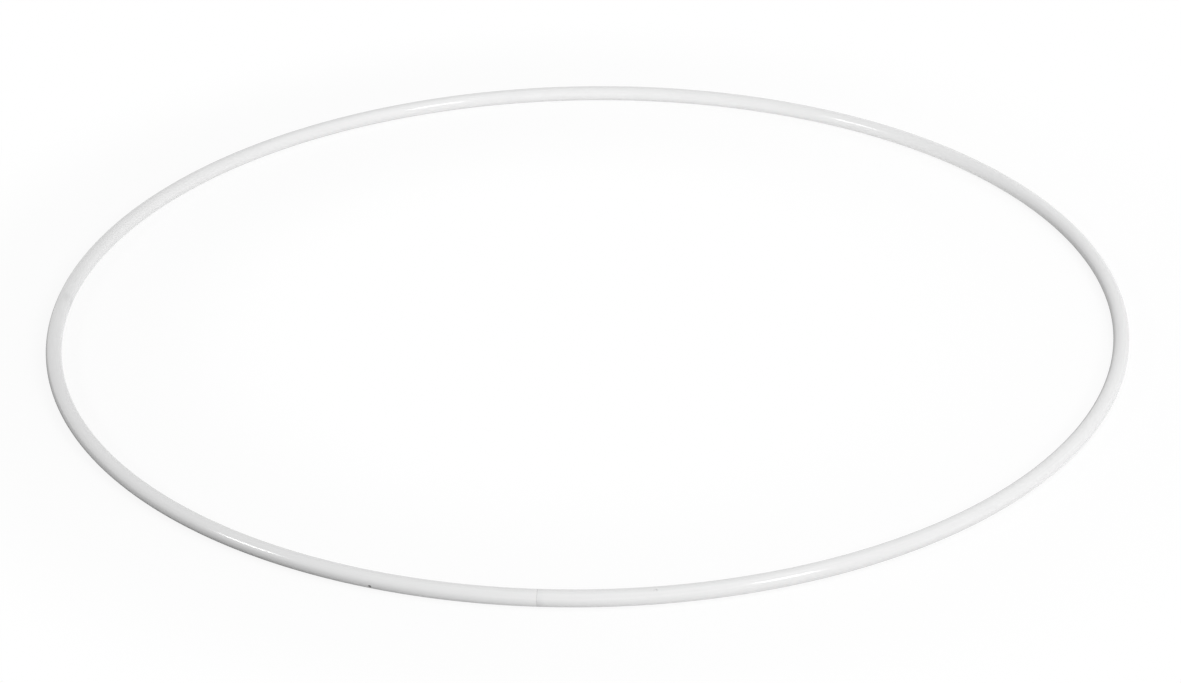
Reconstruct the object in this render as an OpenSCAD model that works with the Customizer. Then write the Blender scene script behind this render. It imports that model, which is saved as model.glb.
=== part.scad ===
// Rhythmic gymnastics hoop: one round plastic tube bent to a circle and closed at a single butt seam.
// Inside the seam a ribbed plug joins the two cut ends, and a sunk pin on each side holds it in the tube.
// The hoop lies flat on Z = 0, its centre is on the Z axis, and its seam is on the -Y side.

/* [Hoop] */
// Outside diameter of the hoop
hoop_diameter = 900; // [700:1:1000]
// Outside diameter of the round tube
tube_diameter = 13; // [11:0.5:20]
// Thickness of the tube's wall
tube_wall = 2.25; // [1.75:0.05:3]

/* [Seam] */
// Gap left between the tube's two cut ends
seam_gap = 0.1; // [0.05:0.05:1]
// Bevel round the outside of each cut end
seam_bevel = 0.15; // [0.1:0.05:0.8]
// Lead-in bevel round the bore of each cut end
bore_bevel = 0.5; // [0.1:0.05:0.8]

/* [Plug] */
// Length of plug beyond the farther pin, the same on both sides of the seam
plug_past_pin = 20; // [8:1:60]
// Gap between the plug's ribs and the tube's bore
plug_clearance = 0.05; // [0.02:0.01:0.2]
// Number of ribs round the plug
rib_count = 4; // [3:1:6]
// Width of each rib
rib_width = 1.2; // [0.6:0.1:2]
// Height of each rib above the plug's core
rib_height = 0.5; // [0.2:0.05:0.8]
// Length of the bare end of the plug, from its tip to where the ribs start
pilot_length = 7; // [4:0.5:8]
// Length of the cone nose on each end of the plug
nose_length = 2; // [0.5:0.5:3]
// Radius that the plug loses over its nose
nose_drop = 1; // [0.2:0.1:2]

/* [Pins] */
// Distance along the tube from the seam to the left pin
left_pin_distance = 125; // [20:1:200]
// Distance along the tube from the seam to the right pin
right_pin_distance = 86; // [20:1:200]
// Direction of the left pin, as an angle up from straight outwards
left_pin_turn = -22; // [-80:1:80]
// Direction of the right pin, as an angle up from straight outwards
right_pin_turn = 68; // [-80:1:80]
// Diameter of a pin's head
head_diameter = 2.2; // [1.8:0.1:3.5]
// Thickness of a pin's head, its dome included
head_height = 0.7; // [0.4:0.05:1]
// Height of the dome on a pin's head
dome_height = 0.25; // [0.1:0.05:0.35]
// Diameter of a pin's shank
shank_diameter = 1.3; // [0.8:0.1:1.6]
// Depth of a pin's bite into the plug's core
pin_bite = 3; // [1.5:0.1:4]
// Length of the point on a pin
point_length = 0.9; // [0.4:0.1:1.2]
// Depth of a pin's head below the tube's surface
head_sink = 0.15; // [0.1:0.05:1]
// Gap round a pin in its holes
pin_clearance = 0.05; // [0.02:0.01:0.15]

/* [Hidden] */
tube_radius = tube_diameter / 2;
bore_radius = tube_radius - tube_wall;
ring_radius = hoop_diameter / 2 - tube_radius;
seam_angle = -90;

rib_radius = bore_radius - plug_clearance;
core_radius = rib_radius - rib_height;
plug_reach = max(left_pin_distance, right_pin_distance) + plug_past_pin;

// Heights along a pin's own axis, counted from the middle of the tube
head_top = tube_radius - head_sink;
head_seat = head_top - head_height;
pin_tip = core_radius - pin_bite;
pin_hole_end = pin_tip - pin_clearance;

// How far a cut runs past the face that it opens
overrun = 1;
sweep_steps = 360;
section_steps = 64;
$fn = 64;

// Angle at the hoop's centre for a distance along the middle of the tube.
function arc_angle(distance) = distance / ring_radius * 180 / PI;

// Puts its children on the middle of the tube, a distance along from the seam, positive towards +X.
// There X points out of the hoop, Y runs on along the tube and Z points up.
module along_tube(distance) {
    translate([0, 0, tube_radius])
        rotate([0, 0, seam_angle + arc_angle(distance)])
            translate([ring_radius, 0, 0])
                children();
}

// Sweeps a flat section along the middle of the tube from one distance to another.
module swept_section(from, to) {
    translate([0, 0, tube_radius])
        rotate([0, 0, seam_angle + arc_angle(from)])
            rotate_extrude(angle = arc_angle(to - from), $fn = sweep_steps)
                translate([ring_radius, 0])
                    children();
}

// Ring that bevels the outside of a round end. The end face is at Z = 0 and the solid lies below it.
// What the ring leaves loses drop of radius over length, and the ring ends at height past.
module outside_bevel(radius, drop, length, past) {
    slope = drop / length;
    difference() {
        translate([0, 0, -length - overrun])
            cylinder(r = radius + overrun * (1 + slope), h = length + overrun + past);
        translate([0, 0, -length - 2 * overrun])
            cylinder(
                r1 = radius + 2 * overrun * slope,
                r2 = radius - drop - overrun * slope,
                h = length + 3 * overrun
            );
    }
}

// Cone that bevels a bore's mouth. The end face is at Z = 0 and the cone ends at height past.
module bore_mouth(radius, bevel, past) {
    translate([0, 0, -bevel - overrun])
        cylinder(r1 = radius - overrun, r2 = radius + bevel + past, h = bevel + overrun + past);
}

// Puts its children on a pin's axis: Z points out of the tube along the pin, from the tube's middle.
module on_pin_axis(distance, turn) {
    along_tube(distance)
        rotate([0, 90 - turn, 0])
            children();
}

module on_left_pin() {
    on_pin_axis(-left_pin_distance, left_pin_turn)
        children();
}

module on_right_pin() {
    on_pin_axis(right_pin_distance, right_pin_turn)
        children();
}

// Stepped hole that one pin drops into: a seat for its head, and a blind hole for its shank.
module pin_hole() {
    translate([0, 0, pin_hole_end])
        cylinder(d = shank_diameter + 2 * pin_clearance, h = tube_radius - pin_hole_end);
    translate([0, 0, head_seat])
        cylinder(d = head_diameter + 2 * pin_clearance, h = tube_radius - head_seat + overrun);
}

module both_pin_holes() {
    on_left_pin()
        pin_hole();
    on_right_pin()
        pin_hole();
}

// One headed pin, turned about its own axis: a round shank with a cone point runs up into a domed head.
module pin() {
    head_radius = head_diameter / 2;
    shank_radius = shank_diameter / 2;
    dome_radius = (head_radius * head_radius + dome_height * dome_height) / (2 * dome_height);
    dome_edge = head_top - dome_height;
    rotate_extrude()
        polygon([
            [0, pin_tip],
            [shank_radius, pin_tip + point_length],
            [shank_radius, dome_edge],
            [0, dome_edge]
        ]);
    intersection() {
        translate([0, 0, head_top - dome_radius])
            sphere(r = dome_radius);
        translate([0, 0, head_seat])
            cylinder(r = head_radius, h = head_height + overrun);
    }
}

// The tube: a ring of pipe with two cut ends that face each other across the seam.
module hoop_tube() {
    half_gap = seam_gap / 2;
    color("white")
        difference() {
            swept_section(half_gap, 2 * PI * ring_radius - half_gap)
                difference() {
                    circle(r = tube_radius, $fn = section_steps);
                    circle(r = bore_radius, $fn = section_steps);
                }
            for (side = [-1, 1])
                along_tube(side * half_gap)
                    rotate([side * 90, 0, 0]) {
                        outside_bevel(tube_radius, seam_bevel, seam_bevel, half_gap);
                        bore_mouth(bore_radius, bore_bevel, half_gap);
                    }
            both_pin_holes();
        }
}

// The plug inside the seam: a curved rod with a cone nose at each end, and ribs along it that grip the bore.
module joint_plug() {
    rib_reach = plug_reach - pilot_length;
    color("gainsboro")
        difference() {
            union() {
                plug_core();
                swept_section(-rib_reach, rib_reach)
                    for (rib = [0 : rib_count - 1])
                        rotate(rib * 360 / rib_count)
                            rib_section();
            }
            both_pin_holes();
        }
}

// The plug's round core, with its cone noses.
module plug_core() {
    difference() {
        swept_section(-plug_reach, plug_reach)
            circle(r = core_radius, $fn = section_steps);
        for (side = [-1, 1])
            along_tube(side * plug_reach)
                rotate([-side * 90, 0, 0])
                    outside_bevel(core_radius, nose_drop, nose_length, overrun);
    }
}

// Section of one rib: a bar from inside the core out to the round of the rib tips.
module rib_section() {
    intersection() {
        circle(r = rib_radius, $fn = section_steps);
        translate([core_radius / 2, -rib_width / 2])
            square([bore_radius, rib_width]);
    }
}

module left_pin() {
    color("silver")
        on_left_pin()
            pin();
}

module right_pin() {
    color("silver")
        on_right_pin()
            pin();
}

hoop_tube();
joint_plug();
left_pin();
right_pin();
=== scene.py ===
"""The looks of a plain white rhythmic gymnastics hoop that lies on a pale studio floor.

Lengths are in metres and angles in degrees, unless a name says otherwise. The hoop lies on Z = 0 round
the Z axis, and its seam is on the -Y side. A distance along the tube is counted from the seam, positive
towards +X, and so is the turn of the camera, a lamp or a shade round the hoop.
"""

import math

import bpy
import numpy as np
from mathutils import Matrix, Vector


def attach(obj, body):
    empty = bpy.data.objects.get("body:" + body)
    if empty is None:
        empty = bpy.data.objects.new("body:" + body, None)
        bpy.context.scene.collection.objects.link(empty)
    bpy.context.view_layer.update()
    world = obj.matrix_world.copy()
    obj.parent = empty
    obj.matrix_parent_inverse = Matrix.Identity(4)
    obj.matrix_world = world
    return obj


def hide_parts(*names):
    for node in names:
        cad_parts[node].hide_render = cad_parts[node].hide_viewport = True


MM = 0.001

# The hoop's sizes, as its solids have them
HOOP_DIAMETER = 900 * MM
TUBE_DIAMETER = 13 * MM
TUBE_WALL = 2.25 * MM
SEAM_GAP = 0.1 * MM
SEAM_BEVEL = 0.15 * MM
BORE_BEVEL = 0.5 * MM
SEAM_ANGLE = -90
# Each pin's distance along the tube, and the angle of its axis up from straight outwards
PIN_PLACES = {"left_pin": (-125 * MM, -22), "right_pin": (86 * MM, 68)}
HEAD_DIAMETER = 2.2 * MM
HEAD_HEIGHT = 0.7 * MM
HEAD_SINK = 0.15 * MM
PIN_CLEARANCE = 0.05 * MM

TUBE_RADIUS = TUBE_DIAMETER / 2
BORE_RADIUS = TUBE_RADIUS - TUBE_WALL
RING_RADIUS = HOOP_DIAMETER / 2 - TUBE_RADIUS
TUBE_LENGTH = 2 * math.pi * RING_RADIUS
SEAT_RADIUS = HEAD_DIAMETER / 2 + PIN_CLEARANCE
SEAT_HEIGHT = TUBE_RADIUS - HEAD_SINK - HEAD_HEIGHT

# The worn edge of a pin's seat, and the low lip that driving the pin raised round it
SEAT_EDGE = 0.1 * MM
LIP_HEIGHT = 0.03 * MM
LIP_RADIUS = 1.55 * MM
LIP_WIDTH = 0.25 * MM

# The grid of the tube's outside: fine steps near a pin, which widen to coarse ones over the reach given
FINE_STEP, COARSE_STEP = 0.13 * MM, 6 * MM
STEP_REACH = (2 * MM, 22 * MM)
FINE_TURN, COARSE_TURN = 1.2, 6
TURN_REACH = (18, 60)
# How many spots the steps are added up at
LINE_SPOTS = 200001
# The grid lines along the bore and over the round edge of an end, and the angle past which an edge is sharp
BORE_LINES = 120
EDGE_LINES = 6
SHARP_ANGLE = 35

# The map for the tube's finish: the outside is cut across into strips that lie one above another
MAP_STRIPS = 8
MAP_MARGIN = 0.006
MAP_BORE_SHARE = 0.03

# The camera: its lens, how far round from the seam it stands, how high, and what it looks at
LENS_MM = 108.8
SENSOR_MM = 36
VIEW_TURN = 5.05
VIEW_RISE = 28.43
VIEW_ROLL = -0.88
VIEW_DISTANCE = 2.946
AIM_SIDE = 2.5 * MM
AIM_FORWARD = -50.7 * MM

# Finishes, as linear grey levels
TUBE_WHITE = 0.8
# The grey of the darkening at the seam and of the grey band
DARK_MARK_GREY = 0.45
# The dark grey of the painted shade at the pins
PAINTED_SHADE_GREY = 0.09
PLUG_GREY = 0.62
ZINC_GREY = 0.86
# The darkest and the palest cloud of each finish, as shares of its level
TUBE_CLOUDS = (0.96, 1.03)
PLUG_CLOUDS = (0.9, 1)
ZINC_CLOUDS = (0.85, 1)
# Each finish's roughness where it is plain, and what each of its patterns and marks adds
TUBE_ROUGHNESS = {"plain": 0.1, "mottle": 0.05, "drawn_lines": 0.02, "rub": 0.2, "grime": 0.4}
PLUG_ROUGHNESS = {"plain": 0.45, "grain": 0.15}
ZINC_ROUGHNESS = {"plain": 0.35, "blotches": 0.2, "grime": 0.3}
TUBE_IOR = 1.5
# The depth of the finest forms: the tube's swells, the plug's grain and the pins' scratches
SWELL_DEPTH = 0.003 * MM
GRAIN_DEPTH = 0.01 * MM
SCRATCH_DEPTH = 0.004 * MM
# The lines that drawing left along the tube: their share of its clouds, between which levels of their noise
# they show, and their height beside the swells'
LINE_SHARE = 0.4
LINE_LEVELS = (0.3, 0.7)
LINE_HEIGHT = 0.4

# Painted shade at the pins, dark colour in each seat and on each head for the shade in the left pin's
# recess,
# which faces down: how much each has, how far it runs past the seat, how ragged its edge is, and between
# which levels of the zinc's blotches it sets in
PIN_PAINTED_SHADE = {"left_pin": 0.9, "right_pin": 0.0}
PAINTED_SHADE_REACH = 0.75 * MM
PAINTED_SHADE_RAGGED = 0.5 * MM
PAINTED_SHADE_LEVELS = (0.2, 0.5)
# The grey band across the tube: its angle round the hoop's centre from +X, how far it runs each way, how
# strong it is, and between which levels of the tube's mottle it sets in
GREY_BAND_ANGLE = 181
GREY_BAND_REACH = 11 * MM
GREY_BAND_SHARE = 0.6
GREY_BAND_LEVELS = (0.25, 0.6)
# The darkening right of the seam: how far it runs, its strength all round, what the low side adds, and how
# far under and over the tube's middle that side fades. Then the dirty line along each edge: width and
# strength
DARKENING_REACH = 7 * MM
DARKENING_SHARE = 0.04
LOW_DARKENING_SHARE = 0.3
LOW_DARKENING_FADE = 0.9 * TUBE_RADIUS
SEAM_LINE_WIDTH = 0.5 * MM
SEAM_LINE_SHARE = 0.05

# The floor: half its width, and the share of light that it throws back
FLOOR_HALF = 8
FLOOR_BOUNCE = 0.95
# The floor's glow: how much of it sets in just past the tube's line of contact, where that is, and where
# the rest sets in, past the soft shadow
FLOOR_GLOW = 0.86
CONTACT_REACH = (0.5 * MM, 2.5 * MM)
SHADOW_REACH = (0.05, 0.2)
# Where the floor throws less light back, in round patches about points under the tube: each point's turn,
# between which distances from it the shade thins out, what share is lost, and on which side of the tube
FLOOR_SHADES = (
    (-50, 0.14, 0.5, 0.85, "outside"),
    (22, 0.1, 0.3, 0.15, "outside"),
    (93, 0.12, 0.36, 0.6, "inside"),
)
# How far each way from the line of contact one side of the tube passes into the other
SIDE_FADE = 1 * MM

# Light from the surroundings: its strength all round, and wide brighter patches, each with the turn and
# rise of its middle and what it adds there, which thins out over so many degrees
WORLD_LIGHT = 0.43
WORLD_PATCHES = ((0, 12, 0.57), (45, 12, 0.45))
PATCH_REACH = 60

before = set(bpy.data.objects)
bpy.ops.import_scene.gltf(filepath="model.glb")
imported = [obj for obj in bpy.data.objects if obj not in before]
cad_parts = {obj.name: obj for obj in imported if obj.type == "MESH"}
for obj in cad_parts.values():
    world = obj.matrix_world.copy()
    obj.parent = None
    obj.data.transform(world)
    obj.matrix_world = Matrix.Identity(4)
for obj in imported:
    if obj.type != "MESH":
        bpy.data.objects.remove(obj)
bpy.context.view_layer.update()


class Wire:
    """A value on its way through a node tree. Arithmetic on it adds Math nodes."""

    def __init__(self, board, socket):
        self.board = board
        self.socket = socket

    def math(self, operation, *values):
        return self.board.node("ShaderNodeMath", {"operation": operation}, dict(enumerate(values)))

    def __add__(self, other):
        return self.math("ADD", self, other)

    def __sub__(self, other):
        return self.math("SUBTRACT", self, other)

    def __rsub__(self, other):
        return self.math("SUBTRACT", other, self)

    def __mul__(self, other):
        return self.math("MULTIPLY", self, other)

    def __abs__(self):
        return self.math("ABSOLUTE", self)

    __radd__ = __add__
    __rmul__ = __mul__


class Board:
    """The node tree of a material or of the world, with one method that adds any node."""

    def __init__(self, owner):
        owner.use_nodes = True
        self.tree = owner.node_tree
        self.tree.nodes.clear()

    def node(self, kind, settings=None, inputs=None, output=0):
        """Adds a node, sets it up, fills its sockets with values or wires, and gives one output."""
        made = self.tree.nodes.new(kind)
        for name, value in (settings or {}).items():
            setattr(made, name, value)
        for name, value in (inputs or {}).items():
            if isinstance(value, Wire):
                self.tree.links.new(value.socket, made.inputs[name])
            else:
                made.inputs[name].default_value = value
        return Wire(self, made.outputs[output]) if made.outputs else None

    def rise(self, value, low, high):
        """A smooth step: 0 where value is under low, and 1 where it is over high."""
        return self.node(
            "ShaderNodeMapRange",
            {"interpolation_type": "SMOOTHSTEP"},
            {"Value": value, "From Min": low, "From Max": high},
        )

    def fall(self, value, low, high):
        """A smooth step: 1 where value is under low, and 0 where it is over high."""
        return 1 - self.rise(value, low, high)

    def measure(self, operation, *vectors):
        """A value that is worked out from vectors, such as a length or a distance."""
        return self.node(
            "ShaderNodeVectorMath",
            {"operation": operation},
            dict(enumerate(vectors)),
            output="Value",
        )

    def stretched(self, vector, along):
        """The tube's own coordinates, in which a length along the tube counts as that share of itself."""
        return self.node(
            "ShaderNodeVectorMath",
            {"operation": "MULTIPLY"},
            {0: vector, 1: (1, 1, along)},
        )

    def noise(self, vector, per_metre, layers):
        """Smooth noise from 0 to 1: so many swells in a metre, with so many finer layers on them."""
        return self.node(
            "ShaderNodeTexNoise",
            {"noise_dimensions": "3D"},
            {"Vector": vector, "Scale": per_metre, "Detail": layers},
            output="Fac",
        )

    def blend(self, share, first, second):
        """A colour that goes from first to second as share goes from 0 to 1."""
        # A Mix node takes its share at socket 0 and its colours at 6 and 7, and gives a colour at 2
        return self.node(
            "ShaderNodeMix",
            {"data_type": "RGBA"},
            {0: share, 6: first, 7: second},
            output=2,
        )

    def clouded(self, share, level, clouds):
        """A grey that goes from its darkest to its palest cloud as share goes from 0 to 1."""
        darkest, palest = clouds
        return self.blend(share, grey(level * darkest), grey(level * palest))

    def bumps(self, height, depth):
        """A normal that leans as if the surface rose by depth where height goes from 0 to 1."""
        return self.node("ShaderNodeBump", {}, {"Strength": 1, "Distance": depth, "Height": height})

    def show(self, kind, inputs):
        """Ends a material's tree in a surface shader of the given kind."""
        surface = self.node(kind, {}, inputs)
        self.node("ShaderNodeOutputMaterial", {}, {"Surface": surface})


def grey(level):
    return (level, level, level, 1)


def roughness(shares, **marks):
    """A finish's plain roughness, to which each pattern or mark adds its share where it shows."""
    total = shares["plain"]
    for name, mark in marks.items():
        total = total + shares[name] * mark
    return total


def smooth_fall(value, low, high):
    """1 under low, 0 over high, and a cubic with level ends between them."""
    part = np.clip((high - value) / (high - low), 0, 1)
    return part * part * (3 - 2 * part)


def direction(turn, rise):
    """The way from the hoop's centre to something turn degrees round from the seam and rise degrees up."""
    round_angle, up_angle = math.radians(turn), math.radians(rise)
    level = math.cos(up_angle)
    return Vector((math.sin(round_angle) * level, -math.cos(round_angle) * level, math.sin(up_angle)))


def beside_tube(along, across, up):
    """Points beside the tube's middle line: so far along it from the seam, out of the hoop, and up."""
    angle = math.radians(SEAM_ANGLE) + along / RING_RADIUS
    radius = RING_RADIUS + across
    return np.stack([radius * np.cos(angle), radius * np.sin(angle), TUBE_RADIUS + up], axis=-1)


def spaced_lines(first, last, centres, reach, steps):
    """Lines from first to last whose step widens evenly from a fine to a coarse one away from the centres.

    One over the step is added up along the way as a running count of lines, and the lines lie where that
    count passes evenly spaced numbers.
    """
    spots = np.linspace(first, last, LINE_SPOTS)
    off = np.abs(spots[:, None] - np.array(centres)).min(axis=1)
    step = np.interp(off, reach, steps)
    count = np.concatenate([[0], np.cumsum(np.diff(spots) / step[1:])])
    return np.interp(np.linspace(0, count[-1], round(count[-1]) + 1), count, spots)


def end_profile():
    """From the tube's outside to its bore over a cut end: a quarter round, the flat and the bore's bevel.

    Gives each point's distance in from the end and its distance from the middle line.
    """
    turn = np.linspace(0, math.pi / 2, EDGE_LINES)
    edge_inset = SEAM_BEVEL * (1 - np.sin(turn))
    edge_radius = TUBE_RADIUS - SEAM_BEVEL * (1 - np.cos(turn))
    inset = np.concatenate([edge_inset, [0, BORE_BEVEL]])
    radius = np.concatenate([edge_radius, [BORE_RADIUS + BORE_BEVEL, BORE_RADIUS]])
    return inset, radius


def tube_profile():
    """The closed line that is carried round the tube: outside, one end, back along the bore, other end.

    Gives each point's distance along the tube and its distance from the middle line.
    """
    first, last = SEAM_GAP / 2, TUBE_LENGTH - SEAM_GAP / 2
    inset, end_radius = end_profile()
    pin_distances = [distance % TUBE_LENGTH for distance, turn in PIN_PLACES.values()]
    steps = (FINE_STEP, COARSE_STEP)
    outside = spaced_lines(first + SEAM_BEVEL, last - SEAM_BEVEL, pin_distances, STEP_REACH, steps)
    bore = np.linspace(last - BORE_BEVEL, first + BORE_BEVEL, BORE_LINES)
    along = np.concatenate([outside[1:-1], last - inset, bore[1:-1], first + inset[::-1]])
    radius = np.concatenate(
        [
            np.full(len(outside) - 2, TUBE_RADIUS),
            end_radius,
            np.full(BORE_LINES - 2, BORE_RADIUS),
            end_radius[::-1],
        ]
    )
    return along, radius


def tube_sheet():
    """The tube as one closed sheet, in its own straightened coordinates: across, up and along.

    A point of the profile is turned round the middle line by the second parameter. Round a pin the sheet
    drops straight down to the flat seat of the pin's head, inside a low lip.
    """
    along, radius = tube_profile()
    pin_turns = [turn for distance, turn in PIN_PLACES.values()]
    turns = spaced_lines(-180, 180, pin_turns, TURN_REACH, (FINE_TURN, COARSE_TURN))[:-1]
    along, turn = np.meshgrid(along, np.radians(turns), indexing="ij")
    radius = np.broadcast_to(radius[:, None], along.shape)
    across, up = radius * np.cos(turn), radius * np.sin(turn)
    for distance, pin_turn in PIN_PLACES.values():
        lean = turn - math.radians(pin_turn)
        height, side = radius * np.cos(lean), radius * np.sin(lean)
        reach = np.hypot(along - distance % TUBE_LENGTH, side)
        outside = height > BORE_RADIUS
        seat = (height - SEAT_HEIGHT) * smooth_fall(reach, SEAT_RADIUS, SEAT_RADIUS + SEAT_EDGE)
        lip = LIP_HEIGHT * np.exp(-(((reach - LIP_RADIUS) / LIP_WIDTH) ** 2))
        drop = np.where(outside, seat - lip, 0)
        across = across - drop * math.cos(math.radians(pin_turn))
        up = up - drop * math.sin(math.radians(pin_turn))
    return across, up, along


def strip_map(along, turn_share, outside):
    """The flat map of the tube's sheet, for the corners of each face.

    The outside is cut across into equal strips, laid one above another: a corner's place in its strip is
    its share of the strip's length and of the way round. The bore and the ends share one narrow strip at
    the top.
    """
    strip_height = (1 - MAP_BORE_SHARE) / MAP_STRIPS
    strip_width = 1 - 2 * MAP_MARGIN
    place = along / TUBE_LENGTH * MAP_STRIPS
    strip = np.clip(np.floor(place.mean(axis=1, keepdims=True)), 0, MAP_STRIPS - 1)
    u = MAP_MARGIN + strip_width * np.clip(place - strip, 0, 1)
    v = strip * strip_height + MAP_MARGIN / 2 + (strip_height - MAP_MARGIN) * turn_share
    bore_u = MAP_MARGIN + strip_width * np.clip(along / TUBE_LENGTH, 0, 1)
    bore_v = 1 - MAP_BORE_SHARE + (MAP_BORE_SHARE - MAP_MARGIN) * turn_share
    return np.where(outside[..., None], np.stack([u, v], -1), np.stack([bore_u, bore_v], -1))


def quads_of(rows, columns):
    """Corner numbers of the faces of a grid that closes on itself both ways."""
    row, column = np.meshgrid(np.arange(rows), np.arange(columns), indexing="ij")
    next_row, next_column = (row + 1) % rows, (column + 1) % columns
    corners = [(row, column), (next_row, column), (next_row, next_column), (row, next_column)]
    return np.stack([r * columns + c for r, c in corners], axis=-1).reshape(-1, 4)


def mesh_piece(name, points, quads):
    """A smooth mesh object at the origin from its points and its four-cornered faces."""
    mesh = bpy.data.meshes.new(name)
    mesh.vertices.add(len(points))
    mesh.vertices.foreach_set("co", points.astype(np.float32).ravel())
    mesh.loops.add(quads.size)
    mesh.loops.foreach_set("vertex_index", quads.astype(np.int32).ravel())
    mesh.polygons.add(len(quads))
    mesh.polygons.foreach_set("loop_start", np.arange(0, quads.size, 4, dtype=np.int32))
    mesh.update(calc_edges=True)
    mesh.validate()
    mesh.shade_smooth()
    mesh.set_sharp_from_angle(angle=math.radians(SHARP_ANGLE))
    piece = bpy.data.objects.new(name, mesh)
    bpy.context.scene.collection.objects.link(piece)
    return piece


def make_hoop_tube():
    """The bent tube with its seam and its pin seats.

    Its points carry their straightened coordinates for the finish, and its faces the flat map.
    """
    across, up, along = tube_sheet()
    rows, columns = along.shape
    points = beside_tube(along, across, up).reshape(-1, 3)
    quads = quads_of(rows, columns)
    piece = mesh_piece("hoop_tube_skin", points, quads)
    straight = piece.data.attributes.new("straight", "FLOAT_VECTOR", "POINT")
    straight.data.foreach_set("vector", np.stack([across, up, along], -1).astype(np.float32).ravel())
    first_column = np.tile(np.arange(columns), rows)
    turn_share = (first_column[:, None] + np.array([0, 0, 1, 1])) / columns
    wall = np.hypot(across, up).ravel()[quads]
    outside = np.broadcast_to((wall.max(axis=1) > BORE_RADIUS + BORE_BEVEL)[:, None], quads.shape)
    flat_map = piece.data.uv_layers.new(name="OFBake", do_init=False)
    corners = strip_map(along.ravel()[quads], turn_share, outside)
    flat_map.uv.foreach_set("vector", corners.astype(np.float32).ravel())
    return piece


def pin_point(name):
    """Where a pin's axis meets the tube's outside, in the tube's straightened coordinates."""
    distance, turn = PIN_PLACES[name]
    turn = math.radians(turn)
    return (TUBE_RADIUS * math.cos(turn), TUBE_RADIUS * math.sin(turn), distance % TUBE_LENGTH)


def pin_painted_shade(board, straight, mottle):
    """Painted shade in the pins' seats, which thins out over the lip with a ragged edge."""
    painted_shade_share = 0
    for name, share in PIN_PAINTED_SHADE.items():
        distance = board.measure("DISTANCE", straight, pin_point(name)) + mottle * PAINTED_SHADE_RAGGED
        painted_shade_share = painted_shade_share + share * board.fall(distance, SEAT_RADIUS, SEAT_RADIUS + PAINTED_SHADE_REACH)
    return painted_shade_share


def seam_darkening(board, up, along):
    """A soft darkening right of the seam, darker low on the tube, and a fine dirty line along both edges.
    """
    right = board.fall(along, 0, DARKENING_REACH)
    low = board.fall(up, -LOW_DARKENING_FADE, LOW_DARKENING_FADE)
    left_edge = board.rise(along, TUBE_LENGTH - SEAM_LINE_WIDTH, TUBE_LENGTH)
    right_edge = board.fall(along, 0, SEAM_LINE_WIDTH)
    return right * (DARKENING_SHARE + LOW_DARKENING_SHARE * low) + SEAM_LINE_SHARE * (left_edge + right_edge)


def rub_mark(board, along, mottle):
    """A dull grey band across the tube on its left side, broken up by the mottle."""
    middle = math.radians(GREY_BAND_ANGLE - SEAM_ANGLE) * RING_RADIUS
    return board.fall(abs(along - middle), 0, GREY_BAND_REACH) * board.rise(mottle, *GREY_BAND_LEVELS)


def white_tube_finish():
    """Half-gloss white plastic tube: drawn lines, soft clouds, a grey band, darkening at the seam, painted
    shade at the pins.
    """
    material = bpy.data.materials.new("white_tube_plastic")
    board = Board(material)
    straight = board.node("ShaderNodeAttribute", {"attribute_name": "straight"}, output="Vector")
    up = board.node("ShaderNodeSeparateXYZ", {}, {0: straight}, output="Y")
    along = board.node("ShaderNodeSeparateXYZ", {}, {0: straight}, output="Z")
    drawn_lines = board.noise(board.stretched(straight, along=0.004), per_metre=1400, layers=3)
    swells = board.noise(board.stretched(straight, along=0.1), per_metre=200, layers=1)
    mottle = board.noise(board.stretched(straight, along=0.3), per_metre=60, layers=3)
    fine_mottle = board.noise(straight, per_metre=1100, layers=2)
    # Painted shade in the pins' seats, for the shade in the left pin's recess
    grime = pin_painted_shade(board, straight, fine_mottle)
    rub = rub_mark(board, along, mottle)
    cloud = mottle * (1 - LINE_SHARE) + board.rise(drawn_lines, *LINE_LEVELS) * LINE_SHARE
    clean = board.clouded(cloud, TUBE_WHITE, TUBE_CLOUDS)
    darkened = board.blend(seam_darkening(board, up, along) + rub * GREY_BAND_SHARE, clean, grey(DARK_MARK_GREY))
    board.show(
        "ShaderNodeBsdfPrincipled",
        {
            "Base Color": board.blend(grime, darkened, grey(PAINTED_SHADE_GREY)),
            "Roughness": roughness(
                TUBE_ROUGHNESS,
                mottle=mottle,
                drawn_lines=drawn_lines,
                rub=rub,
                grime=grime,
            ),
            "IOR": TUBE_IOR,
            "Normal": board.bumps(drawn_lines * LINE_HEIGHT + swells, SWELL_DEPTH),
        },
    )
    return material


def plug_finish():
    """Matt grey-white moulded plastic with a fine even grain."""
    material = bpy.data.materials.new("plug_plastic")
    board = Board(material)
    place = board.node("ShaderNodeTexCoord", output="Object")
    grain = board.noise(place, per_metre=2500, layers=2)
    cloud = board.noise(place, per_metre=60, layers=2)
    board.show(
        "ShaderNodeBsdfPrincipled",
        {
            "Base Color": board.clouded(cloud, PLUG_GREY, PLUG_CLOUDS),
            "Roughness": roughness(PLUG_ROUGHNESS, grain=grain),
            "Normal": board.bumps(grain, GRAIN_DEPTH),
        },
    )
    return material


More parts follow.
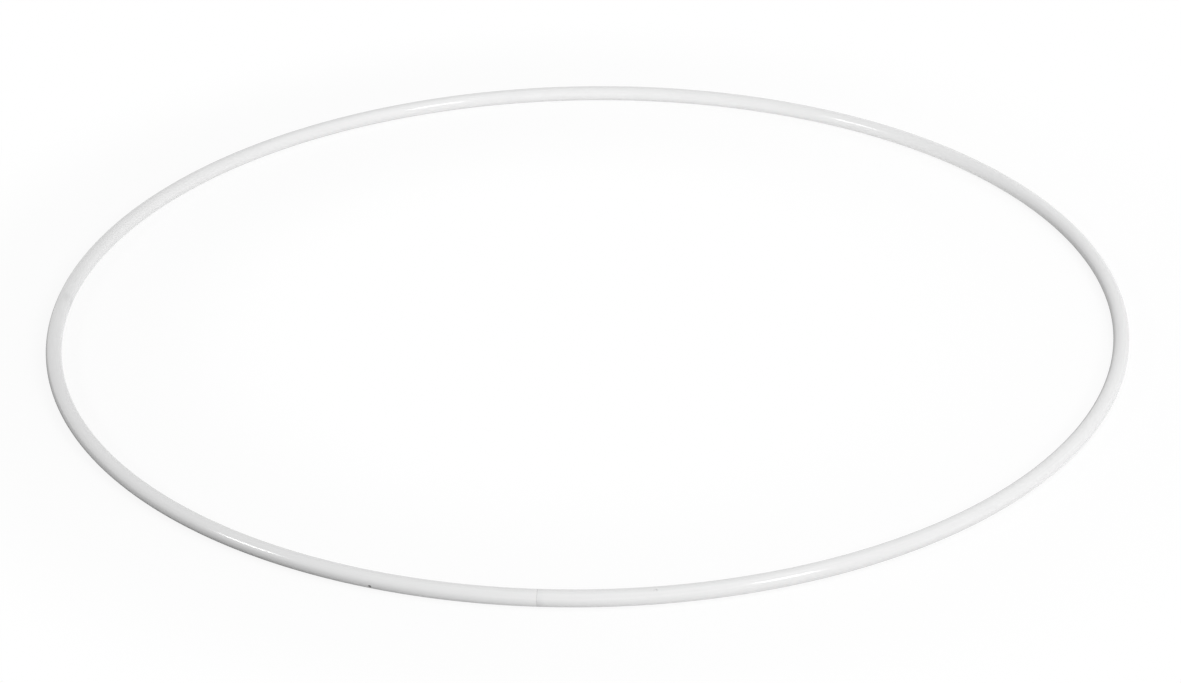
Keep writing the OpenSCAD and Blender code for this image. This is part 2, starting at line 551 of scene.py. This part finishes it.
def zinc_finish(name, grime):
    """Zinc-plated steel with dull blotches and fine scratches, dulled and darkened by a share of painted
    shade.
    """
    material = bpy.data.materials.new(name)
    board = Board(material)
    place = board.node("ShaderNodeTexCoord", output="Object")
    blotches = board.noise(place, per_metre=1800, layers=3)
    scratches = board.noise(place, per_metre=6000, layers=2)
    clean = board.clouded(blotches, ZINC_GREY, ZINC_CLOUDS)
    # Painted shade on the head, for the shade in the pin's recess
    painted_shade_share = grime * board.rise(blotches, *PAINTED_SHADE_LEVELS)
    board.show(
        "ShaderNodeBsdfPrincipled",
        {
            "Base Color": board.blend(painted_shade_share, clean, grey(PAINTED_SHADE_GREY)),
            "Metallic": 1 - painted_shade_share,
            "Roughness": roughness(ZINC_ROUGHNESS, blotches=blotches, grime=painted_shade_share),
            "Normal": board.bumps(scratches, SCRATCH_DEPTH),
        },
    )
    return material


def dress(piece, material):
    piece.data.materials.clear()
    piece.data.materials.append(material)


def seen_directly(board):
    """1 for rays from the camera and for those that a mirror or glass passes on, and otherwise 0."""
    path = {
        name: board.node("ShaderNodeLightPath", output=name)
        for name in ("Is Camera Ray", "Is Glossy Ray", "Is Transmission Ray")
    }
    return board.node(
        "ShaderNodeMath",
        {"operation": "ADD", "use_clamp": True},
        {0: path["Is Camera Ray"], 1: path["Is Glossy Ray"] + path["Is Transmission Ray"]},
    )


def floor_bounce(board, place, away):
    """The share of light that the floor throws back, less what each shade takes on its side of the tube."""
    outside = board.rise(away, -SIDE_FADE, SIDE_FADE)
    sides = {"outside": outside, "inside": 1 - outside}
    bounce = FLOOR_BOUNCE
    for turn, near, far, loss, side in FLOOR_SHADES:
        distance = board.measure("DISTANCE", place, direction(turn, 0) * RING_RADIUS)
        bounce = bounce * (1 - loss * sides[side] * board.fall(distance, near, far))
    return bounce


def floor_finish():
    """A matt floor that glows where it is seen directly: white to the camera, and as shaded to reflections.

    The glow leaves out a narrow line of contact under the tube. Near the hoop it also leaves a share of the
    matt floor, which holds the soft shadow. It doesn't count as a lamp, so that it adds no grain.
    """
    material = bpy.data.materials.new("floor_white")
    board = Board(material)
    place = board.node("ShaderNodeTexCoord", output="Object")
    away = board.measure("LENGTH", place) - RING_RADIUS
    to_camera = board.node("ShaderNodeLightPath", output="Is Camera Ray")
    tone = board.blend(to_camera, floor_bounce(board, place, away), grey(1))
    matt = board.node("ShaderNodeBsdfDiffuse", {}, {"Color": tone})
    glow = board.node("ShaderNodeEmission", {}, {"Color": tone, "Strength": 1})
    near_share = FLOOR_GLOW * board.rise(abs(away), *CONTACT_REACH)
    far_share = (1 - FLOOR_GLOW) * board.rise(abs(away), *SHADOW_REACH)
    share = seen_directly(board) * (near_share + far_share)
    board.show("ShaderNodeMixShader", {0: share, 1: matt, 2: glow})
    material.cycles.emission_sampling = "NONE"
    return material


def make_floor():
    """A wide plain square on Z = 0, with the hoop in its middle."""
    corners = FLOOR_HALF * np.array([[-1, -1, 0], [1, -1, 0], [1, 1, 0], [-1, 1, 0]])
    floor = mesh_piece("floor", corners, np.array([[0, 1, 2, 3]]))
    dress(floor, floor_finish())


def make_world():
    """Soft light from all round, with wide brighter patches. Seen directly, the surroundings are white."""
    world = bpy.data.worlds.new("studio")
    bpy.context.scene.world = world
    board = Board(world)
    place = board.node("ShaderNodeTexCoord", output="Generated")
    strength = WORLD_LIGHT
    for turn, rise, extra in WORLD_PATCHES:
        nearness = board.measure("DOT_PRODUCT", place, direction(turn, rise))
        strength = strength + extra * board.rise(nearness, math.cos(math.radians(PATCH_REACH)), 1)
    soft = board.node("ShaderNodeBackground", {}, {"Color": grey(1), "Strength": strength})
    white = board.node("ShaderNodeBackground", {}, {"Color": grey(1), "Strength": 1})
    surface = board.node("ShaderNodeMixShader", {}, {0: seen_directly(board), 1: soft, 2: white})
    board.node("ShaderNodeOutputWorld", {}, {"Surface": surface})


def softbox(name, turn, rise, distance, width, height, watts, mirrored=True):
    """A soft lamp that faces the hoop's centre. One that isn't mirrored doesn't show in gloss."""
    lamp = bpy.data.lights.new(name, "AREA")
    lamp.shape = "RECTANGLE"
    lamp.size = width
    lamp.size_y = height
    lamp.energy = watts
    stand = bpy.data.objects.new(name, lamp)
    bpy.context.scene.collection.objects.link(stand)
    back = direction(turn, rise)
    stand.location = back * distance
    stand.rotation_mode = "QUATERNION"
    stand.rotation_quaternion = (-back).to_track_quat("-Z", "Y")
    stand.visible_glossy = mirrored


def make_camera():
    """A long lens at the picture's angle.

    It stands back from its aim along one direction, and leans round that direction by its roll.
    """
    back = direction(VIEW_TURN, VIEW_RISE)
    turn = math.radians(VIEW_TURN)
    side = Vector((math.cos(turn), math.sin(turn), 0))
    forward = Vector((-math.sin(turn), math.cos(turn), 0))
    aim = side * AIM_SIDE + forward * AIM_FORWARD + Vector((0, 0, TUBE_RADIUS))
    lean = Matrix.Rotation(math.radians(VIEW_ROLL), 3, back)
    right = lean @ side
    up = back.cross(right)
    lens = bpy.data.cameras.new("camera")
    lens.lens = LENS_MM
    lens.sensor_width = SENSOR_MM
    lens.sensor_fit = "HORIZONTAL"
    camera = bpy.data.objects.new("camera", lens)
    bpy.context.scene.collection.objects.link(camera)
    facing = Matrix((right, up, back)).transposed().to_4x4()
    camera.matrix_world = Matrix.Translation(aim + back * VIEW_DISTANCE) @ facing
    bpy.context.scene.camera = camera


make_camera()
hoop_tube = make_hoop_tube()
dress(hoop_tube, white_tube_finish())
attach(hoop_tube, "root")
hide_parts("hoop_tube")
dress(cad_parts["joint_plug"], plug_finish())
# Only the left pin, which faces down, gets painted shade on its head and in its seat
for pin, grime in PIN_PAINTED_SHADE.items():
    dress(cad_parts[pin], zinc_finish(pin + "_zinc", grime))

make_floor()
make_world()
# Two far lamps make the highlights. Two near ones, which gloss doesn't show, light the right and the back
softbox("left_lamp", turn=-64.4, rise=28, distance=2.96, width=0.55, height=0.5, watts=12)
softbox("right_lamp", turn=42, rise=28, distance=3.09, width=0.55, height=0.5, watts=14)
softbox("right_wall", turn=60, rise=60, distance=1.4, width=0.7, height=0.7, watts=3.1, mirrored=False)
softbox("back_wall", turn=140, rise=30, distance=1.4, width=0.7, height=0.7, watts=2.8, mirrored=False)

bpy.context.scene.view_settings.view_transform = "Standard"
